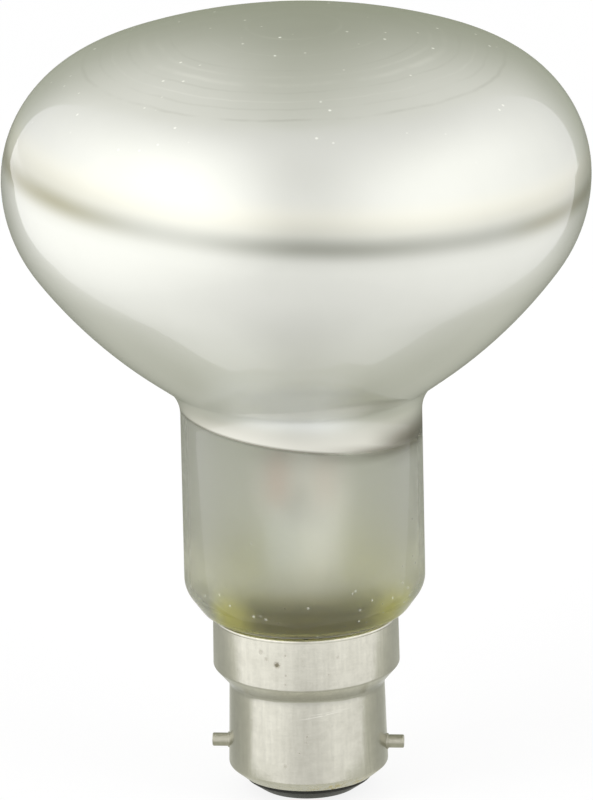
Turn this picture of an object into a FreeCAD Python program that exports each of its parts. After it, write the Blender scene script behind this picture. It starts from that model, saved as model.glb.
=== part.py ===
"""Mirrored reflector bulb with a two-pin bayonet cap, in millimetres.

The bulb stands cap down. The origin is on its axis in the plane of the two contacts, +Z
points to the head, the bayonet pins lie along X and the contacts along Y.
"""
import FreeCAD, Part
import math
import os

import Sketcher
from FreeCAD import Placement, Rotation, Vector

SIZES = {
    # Blown glass envelope, outside
    "pole_height": 110.8,
    "dome_radius": 80.8,
    "dome_depth": 21.6,
    "head_radius": 40.5,
    "bowl_upper_radius": 20.2,
    "bowl_lower_radius": 70.2,
    "bowl_end_angle": 53.1,
    "bowl_cone_length": 3.28,
    "throat_radius": 6.4,
    "neck_radius": 16.7,
    "neck_foot_height": 31.5,
    "foot_upper_radius": 3.9,
    "foot_angle": 35.5,
    "foot_lower_radius": 2.6,
    "seal_fillet": 0.8,
    "seal_fillet_height": 25.6,
    "seal_end_height": 21.5,
    "glass_wall": 0.8,
    # Glass stem: flare, tube and pinch
    "stem_tube_radius": 5.2,
    "stem_wall": 0.9,
    "stem_bore_top": 38.5,
    "stem_tube_top": 40.0,
    "pinch_bottom": 42.5,
    "pinch_top": 49.0,
    "pinch_width": 12.0,
    "pinch_thickness": 4.6,
    "exhaust_radius": 1.8,
    "exhaust_bore_radius": 1.0,
    "exhaust_tip_height": 10.5,
    "exhaust_tip_length": 3.0,
    "exhaust_side_hole_height": 44.0,
    # Rod, button and filament supports
    "rod_radius": 1.3,
    "button_radius": 2.4,
    "button_height": 63.0,
    "button_half_length": 1.6,
    "support_wire_radius": 0.15,
    "support_depth": 1.0,
    "support_count": 4,
    # Filament
    "filament_ring_radius": 8.5,
    "filament_coil_radius": 0.35,
    "filament_height": 70.0,
    "filament_gap_angle": 70.0,
    # Wires through the pinch
    "lead_spacing": 7.6,
    "inner_lead_radius": 0.35,
    "seal_wire_radius": 0.25,
    "outer_lead_radius": 0.25,
    "lead_embedding": 0.8,
    "lead_rise": 5.0,
    "lead_hook_length": 2.0,
    "lead_hook_overrun": 0.8,
    "outer_lead_straight": 13.5,
    "outer_lead_drop": 5.5,
    "outer_lead_bend": 4.0,
    "inner_lead_bend": 3.0,
    # Cap shell
    "rim_height": 26.0,
    "cap_sheet": 0.35,
    "skirt_top_radius": 12.86,
    "skirt_radius": 12.95,
    "skirt_bottom_height": 18.75,
    "skirt_corner": 0.9,
    "shell_top_radius": 10.78,
    "shell_top_height": 16.2,
    "shell_top_fillet": 1.2,
    "shell_radius": 11.07,
    "crimp_top_height": 4.2,
    "crimp_corner": 1.2,
    "crimp_angle": 39.7,
    "crimp_edge_radius": 9.35,
    "lip_section_radius": 0.28,
    "lip_stand": 0.1,
    "skirt_cement_gap": 0.36,
    "cement_foot": 1.0,
    # Bayonet pins
    "pin_radius": 0.93,
    "pin_span": 26.7,
    "pin_height": 6.95,
    "pin_shoulder_radius": 1.1,
    "pin_shoulder_stand": 0.13,
    "pin_flange_setback": 0.4,
    "pin_flange_radius": 1.5,
    "pin_flange_thickness": 0.6,
    "pin_dimple_radius": 0.5,
    "pin_dimple_depth": 1.1,
    # Black glass insulator and contacts
    "insulator_face_height": 0.68,
    "insulator_face_radius": 6.7,
    "insulator_neck_length": 0.55,
    "insulator_top_height": 5.1,
    "insulator_rim_radius": 8.9,
    "insulator_floor_height": 3.4,
    "insulator_floor_radius": 6.4,
    "contact_offset": 3.5,
    "contact_plate_radius": 2.1,
    "contact_plate_thickness": 0.4,
    "eyelet_radius": 0.9,
    "eyelet_bore_radius": 0.5,
    "eyelet_lip_radius": 1.25,
    "eyelet_lip_thickness": 0.25,
    "solder_radius": 1.95,
    # Clearance wherever one piece sits in or on a curved face of another
    "fit_gap": 0.03,
}

# What follows from them: the dome ends at the equator, and the bowl's arcs and its straight
# cone take up the width from head to neck, which gives the depth of the throat below
END_ANGLE = "bowl_end_angle * 1 deg"
DERIVED = {
    "equator_height": "=pole_height - dome_depth",
    "bowl_joint_cosine": "=(head_radius - neck_radius - bowl_upper_radius"
                         f" + bowl_lower_radius * cos({END_ANGLE}) - bowl_cone_length * sin({END_ANGLE})"
                         f" - throat_radius * (1 - cos({END_ANGLE})))"
                         " / (bowl_lower_radius - bowl_upper_radius)",
    "bowl_joint_sine": "=sqrt(1 - bowl_joint_cosine ^ 2)",
    "throat_height": "=equator_height - bowl_upper_radius * bowl_joint_sine"
                     f" - bowl_lower_radius * (sin({END_ANGLE}) - bowl_joint_sine)"
                     f" - bowl_cone_length * cos({END_ANGLE}) - throat_radius * sin({END_ANGLE})",
}

doc = FreeCAD.newDocument("reflector_bulb")
sheet = doc.addObject("Spreadsheet::Sheet", "sizes")
for row, (alias, amount) in enumerate({**SIZES, **DERIVED}.items(), start=1):
    sheet.set(f"A{row}", alias)
    sheet.set(f"B{row}", str(amount))
    sheet.setAlias(f"B{row}", alias)
doc.recompute()

PIECES = []
# A sketch's own numbers for its origin or level axis, and for its upright axis
ORIGIN, UPRIGHT_AXIS = -1, -2


def worked_out(expression):
    """Return the number that an expression on the sheet stands for."""
    return float(doc.Parameters.evalExpression(expression))


def size(alias):
    """Return one size from the sheet."""
    return worked_out(f"sizes.{alias}")


def direction(degrees):
    """Return the outward direction in the sketch plane, so many degrees below level."""
    angle = math.radians(degrees)
    return Vector(math.cos(angle), -math.sin(angle), 0)


def new_piece(label):
    """Start a body for one physical piece."""
    body = doc.addObject("PartDesign::Body", label)
    body.Label = label
    PIECES.append(body)
    return body


def new_sketch(body, name, role, height=None):
    """Attach a sketch to one of the body's own planes, raised by an expression if given."""
    sketch = body.newObject("Sketcher::SketchObject", name)
    plane = next(item for item in body.Origin.OriginFeatures if item.Role == role)
    sketch.AttachmentSupport = [(plane, "")]
    sketch.MapMode = "FlatFace"
    if height:
        sketch.setExpression("AttachmentOffset.Base.z", height)
    return sketch


def bound(sketch, expression, *constraint):
    """Add a constraint whose value follows an expression."""
    index = sketch.addConstraint(Sketcher.Constraint(*constraint, worked_out(expression)))
    sketch.setExpression(f"Constraints[{index}]", expression)


def draw_edge(sketch, start, end, radius=0.0):
    """Draw a line, or an arc that bends left for a radius above nought and right below it.

    Returns the edge's index and which of its points are its start and its end.
    """
    if not radius:
        return sketch.addGeometry(Part.LineSegment(start, end), False), 1, 2
    chord = end - start
    reach = math.sqrt(max(radius ** 2 - (chord.Length / 2) ** 2, 0))
    left = Vector(-chord.y, chord.x, 0).normalize()
    centre = (start + end) / 2 + left * math.copysign(reach, radius)
    first, last = (start, end) if radius > 0 else (end, start)
    begin = math.atan2(first.y - centre.y, first.x - centre.x)
    finish = math.atan2(last.y - centre.y, last.x - centre.x)
    if finish < begin:
        finish += 2 * math.pi
    circle = Part.Circle(centre, Vector(0, 0, 1), abs(radius))
    index = sketch.addGeometry(Part.ArcOfCircle(circle, begin, finish), False)
    return (index, 1, 2) if radius > 0 else (index, 2, 1)


def closed_outline(body, corners):
    """Sketch a closed outline whose corners are pairs of expressions.

    A corner's third expression, where it has one, is the radius of the arc that leaves it.
    """
    sketch = new_sketch(body, f"{body.Name}_outline", "XZ_Plane")
    points = [Vector(worked_out(corner[0]), worked_out(corner[1]), 0) for corner in corners]
    edges = []
    for index, corner in enumerate(corners):
        radius = worked_out(corner[2]) if len(corner) > 2 else 0.0
        edges.append(draw_edge(sketch, points[index], points[(index + 1) % len(points)], radius))
    for index, corner in enumerate(corners):
        edge, first, _ = edges[index]
        before, _, last = edges[index - 1]
        sketch.addConstraint(Sketcher.Constraint("Coincident", before, last, edge, first))
        if points[index].x:
            bound(sketch, corner[0], "DistanceX", ORIGIN, 1, edge, first)
        else:
            sketch.addConstraint(Sketcher.Constraint("PointOnObject", edge, first, UPRIGHT_AXIS))
        if points[index].y:
            bound(sketch, corner[1], "DistanceY", ORIGIN, 1, edge, first)
        else:
            sketch.addConstraint(Sketcher.Constraint("PointOnObject", edge, first, ORIGIN))
        if len(corner) > 2:
            bound(sketch, f"abs({corner[2]})", "Radius", edge)
    return sketch


def revolved(body, sketch, axis="V_Axis"):
    """Turn a sketch a full circle about one of its axes."""
    turned = body.newObject("PartDesign::Revolution", f"{body.Name}_turned")
    turned.Profile = sketch
    turned.ReferenceAxis = (sketch, [axis])
    turned.Angle = 360
    doc.recompute()
    return body


def turned_piece(label, corners, axis="V_Axis"):
    """Make a piece of revolution from the corners of its section."""
    body = new_piece(label)
    return revolved(body, closed_outline(body, corners), axis)


def round_ring(body, name, corner, fillet_radius):
    """Fillet the circular edge that a corner of the section leaves on the turned solid."""
    names = []
    for number, edge in enumerate(body.Shape.Edges, start=1):
        if not isinstance(edge.Curve, Part.Circle):
            continue
        ring = Vector(edge.Curve.Radius, edge.Curve.Center.z, 0)
        if ring.isEqual(corner, 1e-4):
            names.append(f"Edge{number}")
    base = body.Tip
    fillet = body.newObject("PartDesign::Fillet", name)
    fillet.Base = (base, names)
    fillet.setExpression("Radius", fillet_radius)
    doc.recompute()


def sheet_section(body, corners, wall):
    """Sketch the section of a sheet from the outside corners, top to bottom.

    The inside runs parallel to the outside, a wall away, and both ends are cut level.
    Returns the sketch, the outside points and the inside points.
    """
    sketch = new_sketch(body, f"{body.Name}_section", "XZ_Plane")
    outside = [Vector(worked_out(across), worked_out(up), 0) for across, up in corners]
    normals = []
    for start, end in zip(outside, outside[1:]):
        way = (end - start).normalize()
        normals.append(Vector(-way.y, way.x, 0))
    gap = worked_out(wall)
    inside = [outside[0] - Vector(gap / normals[0].x, 0, 0)]
    for corner, before, after in zip(outside[1:], normals, normals[1:]):
        inside.append(corner - (before + after) * (gap / (1 + before.dot(after))))
    inside.append(outside[-1] - Vector(gap / normals[-1].x, 0, 0))
    ring = outside + inside[::-1]
    last = len(ring) - 1
    for index, start in enumerate(ring):
        draw_edge(sketch, start, ring[(index + 1) % len(ring)])
    for index in range(len(ring)):
        sketch.addConstraint(Sketcher.Constraint("Coincident", (index - 1) % len(ring), 2, index, 1))
    for index, (across, up) in enumerate(corners):
        bound(sketch, across, "DistanceX", ORIGIN, 1, index, 1)
        bound(sketch, up, "DistanceY", ORIGIN, 1, index, 1)
    for run in range(len(corners) - 1):
        inner_run = last - 1 - run
        sketch.addConstraint(Sketcher.Constraint("Parallel", run, inner_run))
        bound(sketch, wall, "Distance", inner_run, 2, run)
    for cut in (len(corners) - 1, last):
        sketch.addConstraint(Sketcher.Constraint("Horizontal", cut))
    return sketch, outside, inside


def pocket_circles(body, name, role, centres, radius, depth=None, height=None):
    """Pocket round holes from a plane: to a depth, or through all on both sides."""
    sketch = new_sketch(body, f"{name}_sketch", role, height)
    for across, up in centres:
        centre = Vector(worked_out(across), worked_out(up), 0)
        circle = Part.Circle(centre, Vector(0, 0, 1), worked_out(radius))
        index = sketch.addGeometry(circle, False)
        for kind, expression, offset in (("DistanceX", across, centre.x), ("DistanceY", up, centre.y)):
            if offset:
                bound(sketch, expression, kind, ORIGIN, 1, index, 3)
            else:
                line = UPRIGHT_AXIS if kind == "DistanceX" else ORIGIN
                sketch.addConstraint(Sketcher.Constraint("PointOnObject", index, 3, line))
        bound(sketch, radius, "Radius", index)
    pocket = body.newObject("PartDesign::Pocket", name)
    pocket.Profile = sketch
    if depth:
        pocket.Type = "Length"
        pocket.Reversed = True
        pocket.setExpression("Length", depth)
    else:
        pocket.Type = "ThroughAll"
        pocket.Midplane = True
    doc.recompute()


def slot_sketch(body, name, width, thickness, height):
    """Sketch a slot with round ends, its straight sides along X, at a height."""
    sketch = new_sketch(body, name, "XY_Plane", height)
    end_radius = worked_out(thickness) / 2
    half_run = worked_out(width) / 2 - end_radius
    corners = [
        Vector(-half_run, -end_radius, 0),
        Vector(half_run, -end_radius, 0),
        Vector(half_run, end_radius, 0),
        Vector(-half_run, end_radius, 0),
    ]
    edges = []
    for index, start in enumerate(corners):
        radius = end_radius if index % 2 else 0.0
        edges.append(draw_edge(sketch, start, corners[(index + 1) % 4], radius))
    for index, (edge, first, _) in enumerate(edges):
        before, _, last = edges[index - 1]
        sketch.addConstraint(Sketcher.Constraint("Tangent", before, last, edge, first))
    sketch.addConstraint(Sketcher.Constraint("Horizontal", edges[0][0]))
    lower, upper = edges[0][0], edges[2][0]
    sketch.addConstraint(Sketcher.Constraint("Symmetric", lower, 1, upper, 1, ORIGIN, 1))
    bound(sketch, f"{thickness} / 2", "Radius", edges[1][0])
    bound(sketch, f"{width} - {thickness}", "DistanceX", lower, 1, lower, 2)
    return sketch


def swept_wire(label, points, radius, bend):
    """Make a round wire along straight runs that arcs of the bend radius join."""
    runs = []
    start = points[0]
    for before, corner, after in zip(points, points[1:], points[2:]):
        way_in = (corner - before).normalize()
        way_out = (after - corner).normalize()
        turn = way_in.getAngle(way_out)
        setback = bend * math.tan(turn / 2)
        leave = corner - way_in * setback
        join = corner + way_out * setback
        inward = (way_out - way_in).normalize()
        middle = corner + inward * (bend / math.cos(turn / 2) - bend)
        runs.append(Part.LineSegment(start, leave).toShape())
        runs.append(Part.Arc(leave, middle, join).toShape())
        start = join
    runs.append(Part.LineSegment(start, points[-1]).toShape())
    section = Part.Wire(Part.Circle(points[0], points[1] - points[0], radius).toShape())
    wire = doc.addObject("Part::Feature", label)
    wire.Label = label
    wire.Shape = Part.Wire(runs).makePipeShell([section], True, True)
    PIECES.append(wire)
    return wire


def primitive(kind, name, **expressions):
    """Make a Part primitive whose properties follow expressions."""
    item = doc.addObject(f"Part::{kind}", name)
    for property_name, expression in expressions.items():
        item.setExpression(property_name, expression)
    return item


# A plain object that evaluates expressions on the sheet
doc.addObject("App::FeaturePython", "Parameters")

CAP_BORE = "(sizes.skirt_radius - sizes.cap_sheet)"
SEAL_RADIUS = f"({CAP_BORE} - sizes.skirt_cement_gap)"
CRIMP_SLOPE = "tan(sizes.crimp_angle * 1 deg)"
CRIMP_DROP = f"((sizes.shell_radius - sizes.crimp_edge_radius) * {CRIMP_SLOPE})"
CRIMP_EDGE_HEIGHT = f"(sizes.crimp_top_height - {CRIMP_DROP})"
CRIMP_BORE = "(sizes.crimp_edge_radius - sizes.cap_sheet / sin(sizes.crimp_angle * 1 deg))"
SHELL_BORE = "(sizes.shell_radius - sizes.cap_sheet)"


def envelope_chain(inset):
    """Work out the envelope's section from pole to seal, set in by a distance.

    Every arc is tangent to its neighbours, so the joints follow from the radii and heights.
    Returns the joints, and for each joint the signed radius of the arc that leaves it.
    """
    equator = size("equator_height")
    dome_radius = size("dome_radius")
    dome_centre = Vector(0, size("pole_height") - dome_radius, 0)
    rise = equator - dome_centre.y
    head = size("head_radius")
    shoulder = (dome_radius ** 2 - head ** 2 - rise ** 2) / (2 * (dome_radius - head))
    shoulder_centre = Vector(head - shoulder, equator, 0)
    dome_end_normal = (shoulder_centre - dome_centre).normalize()

    upper = size("bowl_upper_radius")
    lower = size("bowl_lower_radius")
    throat = size("throat_radius")
    upper_centre = Vector(head - upper, equator, 0)
    throat_centre = Vector(size("neck_radius") + throat, size("throat_height"), 0)
    cone_normal = direction(size("bowl_end_angle"))
    joint_normal = Vector(size("bowl_joint_cosine"), -size("bowl_joint_sine"), 0)
    lower_centre = upper_centre + joint_normal * (upper - lower)

    foot_upper = size("foot_upper_radius")
    foot_lower = size("foot_lower_radius")
    seal_fillet = size("seal_fillet")
    foot_normal = direction(size("foot_angle"))
    foot_way = Vector(foot_normal.y, -foot_normal.x, 0)
    foot_centre = Vector(size("neck_radius") - foot_upper, size("neck_foot_height"), 0)
    foot_start = foot_centre + foot_normal * foot_upper
    seal_radius = worked_out(SEAL_RADIUS)
    seal_centre = Vector(seal_radius + seal_fillet, size("seal_fillet_height"), 0)
    away = foot_start - foot_normal * foot_lower - seal_centre
    along = away.dot(foot_way)
    slide = -along - math.sqrt(along ** 2 - away.dot(away) + (foot_lower + seal_fillet) ** 2)
    foot_end = foot_start + foot_way * slide
    last_foot_normal = (seal_centre - foot_end + foot_normal * foot_lower).normalize()

    outward = Vector(1, 0, 0)
    joints = [
        (Vector(0, size("pole_height"), 0), Vector(0, 1, 0), -dome_radius),
        (dome_centre + dome_end_normal * dome_radius, dome_end_normal, -shoulder),
        (Vector(head, equator, 0), outward, -upper),
        (upper_centre + joint_normal * upper, joint_normal, -lower),
        (lower_centre + cone_normal * lower, cone_normal, 0),
        (throat_centre - cone_normal * throat, cone_normal, throat),
        (throat_centre - outward * throat, outward, 0),
        (foot_centre + outward * foot_upper, outward, -foot_upper),
        (foot_start, foot_normal, 0),
        (foot_end, foot_normal, -foot_lower),
        (seal_centre - last_foot_normal * seal_fillet, last_foot_normal, seal_fillet),
        (seal_centre - outward * seal_fillet, outward, 0),
        (Vector(seal_radius, size("seal_end_height"), 0), outward, 0),
        (Vector(0, size("seal_end_height"), 0), Vector(), 0),
    ]
    points = [point - normal * inset for point, normal, _ in joints]
    bends = [bend + inset if bend else 0 for _, _, bend in joints]
    return points, bends


def envelope_sketch(body, name, inset):
    """Sketch the envelope's section, set in by an expression and tied to the sheet."""
    sketch = new_sketch(body, name, "XZ_Plane")
    points, bends = envelope_chain(worked_out(inset))
    edges = []
    for index, bend in enumerate(bends):
        edges.append(draw_edge(sketch, points[index], points[(index + 1) % len(points)], bend))
    (dome, shoulder, bowl, lower_bowl, _, throat, neck,
     foot, _, lower_foot, fillet, seal, floor, spine) = (edge for edge, _, _ in edges)
    for index, (edge, first, _) in enumerate(edges):
        before, _, last = edges[index - 1]
        smooth = 0 < index <= 11
        sketch.addConstraint(Sketcher.Constraint("Tangent" if smooth else "Coincident",
                                                 before, last, edge, first))
    for edge, point in ((dome, 3), (spine, 1), (spine, 2)):
        sketch.addConstraint(Sketcher.Constraint("PointOnObject", edge, point, UPRIGHT_AXIS))
    sketch.addConstraint(Sketcher.Constraint("Vertical", neck))
    sketch.addConstraint(Sketcher.Constraint("Vertical", seal))
    sketch.addConstraint(Sketcher.Constraint("Horizontal", floor))
    for edge, radius in ((dome, "dome_radius"), (bowl, "bowl_upper_radius"),
                         (lower_bowl, "bowl_lower_radius"), (foot, "foot_upper_radius"),
                         (lower_foot, "foot_lower_radius")):
        bound(sketch, f"sizes.{radius} - {inset}", "Radius", edge)
    for edge, radius in ((throat, "throat_radius"), (fillet, "seal_fillet")):
        bound(sketch, f"sizes.{radius} + {inset}", "Radius", edge)
    for edge, height in ((shoulder, "equator_height"), (bowl, "equator_height"),
                         (throat, "throat_height"), (foot, "neck_foot_height"),
                         (fillet, "seal_fillet_height")):
        bound(sketch, f"sizes.{height}", "DistanceY", ORIGIN, 1, edge, 3)
    bound(sketch, f"sizes.pole_height - {inset}", "DistanceY", ORIGIN, 1, spine, 2)
    bound(sketch, "sizes.seal_end_height", "DistanceY", ORIGIN, 1, spine, 1)
    bound(sketch, f"sizes.head_radius - {inset}", "DistanceX", ORIGIN, 1, bowl, 2)
    bound(sketch, f"sizes.neck_radius - {inset}", "DistanceX", ORIGIN, 1, neck, 1)
    bound(sketch, f"{SEAL_RADIUS} - {inset}", "DistanceX", ORIGIN, 1, seal, 1)
    return sketch


def make_envelope():
    """The blown glass: dome, head, mirrored bowl, neck and the foot that seals to the stem."""
    body = new_piece("glass_envelope")
    revolved(body, envelope_sketch(body, "outside", "0"))
    solid_volume = body.Shape.Volume
    inside = envelope_sketch(body, "inside", "sizes.glass_wall")
    cavity = body.newObject("PartDesign::Groove", "cavity")
    cavity.Profile = inside
    cavity.ReferenceAxis = (inside, ["V_Axis"])
    cavity.Angle = 360
    doc.recompute()
    print("glass_envelope hollowed from", round(solid_volume), "to", round(body.Shape.Volume))
    return body


def make_stem_flare():
    """The stem glass: a flared tube whose top is pinched flat around the wires."""
    bend = f"({SEAL_RADIUS} - sizes.glass_wall - sizes.stem_tube_radius)"
    bend_top = f"sizes.seal_end_height + {bend}"
    body = turned_piece("stem_flare", [
        ("0", "sizes.stem_tube_top"),
        ("0", "sizes.stem_bore_top"),
        ("sizes.stem_tube_radius - sizes.stem_wall", "sizes.stem_bore_top"),
        ("sizes.stem_tube_radius - sizes.stem_wall", bend_top, f"{bend} + sizes.stem_wall"),
        (f"sizes.stem_tube_radius + {bend}", "sizes.seal_end_height - sizes.stem_wall"),
        (SEAL_RADIUS, "sizes.seal_end_height - sizes.stem_wall"),
        (SEAL_RADIUS, "sizes.seal_end_height"),
        (f"sizes.stem_tube_radius + {bend}", "sizes.seal_end_height", f"-{bend}"),
        ("sizes.stem_tube_radius", bend_top),
        ("sizes.stem_tube_radius", "sizes.stem_tube_top"),
    ])
    tube_end = new_sketch(body, "tube_end", "XY_Plane", "sizes.stem_tube_top")
    circle = Part.Circle(Vector(), Vector(0, 0, 1), size("stem_tube_radius"))
    tube_end.addGeometry(circle, False)
    tube_end.addConstraint(Sketcher.Constraint("Coincident", 0, 3, ORIGIN, 1))
    bound(tube_end, "sizes.stem_tube_radius", "Radius", 0)
    pinch_foot = slot_sketch(body, "pinch_foot", "sizes.pinch_width", "sizes.pinch_thickness",
                             "sizes.pinch_bottom")
    taper = body.newObject("PartDesign::AdditiveLoft", "pinch_taper")
    taper.Profile = tube_end
    taper.Sections = [pinch_foot]
    pinch_section = slot_sketch(body, "pinch_section", "sizes.pinch_width", "sizes.pinch_thickness",
                                "sizes.pinch_bottom")
    pinch = body.newObject("PartDesign::Pad", "pinch")
    pinch.Profile = pinch_section
    pinch.setExpression("Length", "sizes.pinch_top - sizes.pinch_bottom")
    doc.recompute()
    half_spacing = "sizes.lead_spacing / 2"
    pocket_circles(body, "seal_wire_holes", "XY_Plane", [(half_spacing, "0"), (f"-{half_spacing}", "0")],
                   "sizes.seal_wire_radius + sizes.fit_gap")
    pocket_circles(body, "inner_lead_sockets", "XY_Plane", [(half_spacing, "0"), (f"-{half_spacing}", "0")],
                   "sizes.inner_lead_radius + sizes.fit_gap", "sizes.lead_embedding",
                   "sizes.pinch_top - sizes.lead_embedding")
    pocket_circles(body, "exhaust_way", "XY_Plane", [("0", "0")], "sizes.exhaust_bore_radius",
                   "sizes.exhaust_side_hole_height - sizes.stem_bore_top", "sizes.stem_bore_top")
    pocket_circles(body, "exhaust_side_hole", "XZ_Plane", [("0", "sizes.exhaust_side_hole_height")],
                   "sizes.exhaust_bore_radius")
    return body


def make_exhaust_tube():
    """The pumping tube inside the stem, melted shut at its tip."""
    tip = "sizes.exhaust_tip_height"
    shoulder = "sizes.exhaust_tip_height + sizes.exhaust_tip_length"
    wall = "(sizes.exhaust_radius - sizes.exhaust_bore_radius)"
    return turned_piece("exhaust_tube", [
        ("0", tip),
        (f"{wall} / 2", tip),
        ("sizes.exhaust_radius", shoulder),
        ("sizes.exhaust_radius", "sizes.stem_bore_top"),
        ("sizes.exhaust_bore_radius", "sizes.stem_bore_top"),
        ("sizes.exhaust_bore_radius", shoulder),
        ("0", f"{tip} + 2 * {wall}"),
    ])


def support_angles():
    """Return the support wires' angles about the axis, evenly spread along the filament."""
    sweep = 360 - size("filament_gap_angle")
    start = -90 + size("filament_gap_angle") / 2
    count = int(size("support_count"))
    return [start + sweep * (index + 1) / (count + 1) for index in range(count)]


def support_line(angle):
    """Return where a support wire starts in the button and where its loop's foot is."""
    radians = math.radians(angle)
    out = Vector(math.cos(radians), math.sin(radians), 0)
    start = out * (size("button_radius") - size("support_depth")) + Vector(0, 0, size("button_height"))
    ring = out * size("filament_ring_radius") + Vector(0, 0, size("filament_height"))
    aim = (ring - start).normalize()
    loop = size("filament_coil_radius") + size("fit_gap") + size("support_wire_radius")
    return start, aim, (ring - start).Length - loop


def make_support_rod():
    """The glass rod on the pinch, with the button that holds the support wires."""
    turned_rod = turned_piece("rod_and_button", [
        ("0", "sizes.pinch_top"),
        ("sizes.rod_radius", "sizes.pinch_top"),
        ("sizes.rod_radius", "sizes.button_height - sizes.button_half_length"),
        ("sizes.button_radius", "sizes.button_height",
         "(sizes.button_radius ^ 2 + sizes.button_half_length ^ 2) / (2 * sizes.button_half_length)"),
        ("0", "sizes.button_height + sizes.button_half_length"),
    ])
    PIECES.remove(turned_rod)
    sockets = []
    for number, angle in enumerate(support_angles(), start=1):
        start, aim, _ = support_line(angle)
        socket = primitive("Cylinder", f"support_socket_{number}",
                           Radius="sizes.support_wire_radius + sizes.fit_gap",
                           Height="sizes.button_radius")
        socket.Placement = Placement(start, Rotation(Vector(0, 0, 1), aim))
        sockets.append(socket)
    drilled = doc.addObject("Part::MultiFuse", "support_sockets")
    drilled.Shapes = sockets
    rod = doc.addObject("Part::Cut", "support_rod")
    rod.Base = turned_rod
    rod.Tool = drilled
    PIECES.append(rod)
    return rod


def make_support_wires():
    """Thin wires from the button, each ending in a loop around the filament."""
    for number, angle in enumerate(support_angles(), start=1):
        start, aim, length = support_line(angle)
        shank = primitive("Cylinder", f"support_shank_{number}", Radius="sizes.support_wire_radius")
        shank.Height = length
        shank.Placement = Placement(start, Rotation(Vector(0, 0, 1), aim))
        loop = primitive("Torus", f"support_loop_{number}",
                         Radius1="sizes.filament_coil_radius + sizes.fit_gap + sizes.support_wire_radius",
                         Radius2="sizes.support_wire_radius")
        radians = math.radians(angle)
        centre = Vector(math.cos(radians), math.sin(radians), 0) * size("filament_ring_radius")
        centre.z = size("filament_height")
        around = Vector(-math.sin(radians), math.cos(radians), 0)
        loop.Placement = Placement(centre, Rotation(Vector(0, 0, 1), around))
        wire = doc.addObject("Part::MultiFuse", f"support_wire_{number}")
        wire.Shapes = [shank, loop]
        PIECES.append(wire)


def make_filament():
    """The coiled filament's envelope: a broken ring between the two inner leads."""
    beside_lead = math.degrees(math.asin((size("inner_lead_radius") + size("fit_gap"))
                                         / size("filament_ring_radius")))
    start = -90 + size("filament_gap_angle") / 2 + beside_lead
    filament = primitive("Torus", "filament", Radius1="sizes.filament_ring_radius",
                         Radius2="sizes.filament_coil_radius")
    filament.Angle3 = 360 - size("filament_gap_angle") - 2 * beside_lead
    filament.Placement = Placement(Vector(0, 0, size("filament_height")), Rotation(Vector(0, 0, 1), start))
    PIECES.append(filament)


def make_leads():
    """For each side: the inner lead, the seal wire in the pinch and the outer lead."""
    half_gap = math.radians(size("filament_gap_angle") / 2)
    ring = size("filament_ring_radius")
    seal_top = size("pinch_top") - size("lead_embedding")
    for side, name in ((-1, "left"), (1, "right")):
        across = side * size("lead_spacing") / 2
        hook = Vector(side * ring * math.sin(half_gap), -ring * math.cos(half_gap), 0)
        hook_top = size("filament_height") + size("lead_hook_overrun")
        swept_wire(f"inner_lead_{name}", [
            Vector(across, 0, seal_top),
            Vector(across, 0, size("pinch_top") + size("lead_rise")),
            hook + Vector(0, 0, hook_top - size("lead_hook_length")),
            hook + Vector(0, 0, hook_top),
        ], size("inner_lead_radius"), size("inner_lead_bend"))
        seal_wire = primitive("Cylinder", f"seal_wire_{name}", Radius="sizes.seal_wire_radius",
                              Height="sizes.pinch_top - sizes.lead_embedding - sizes.stem_bore_top")
        seal_wire.Placement = Placement(Vector(across, 0, size("stem_bore_top")), Rotation())
        PIECES.append(seal_wire)
        contact = Vector(0, side * size("contact_offset"), 0)
        end = (size("insulator_face_height") - size("fit_gap")) / 2
        swept_wire(f"outer_lead_{name}", [
            Vector(across, 0, size("stem_bore_top")),
            Vector(across, 0, size("stem_bore_top") - size("outer_lead_straight")),
            contact + Vector(0, 0, size("insulator_floor_height") + size("outer_lead_drop")),
            contact + Vector(0, 0, end),
        ], size("outer_lead_radius"), size("outer_lead_bend"))


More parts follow.
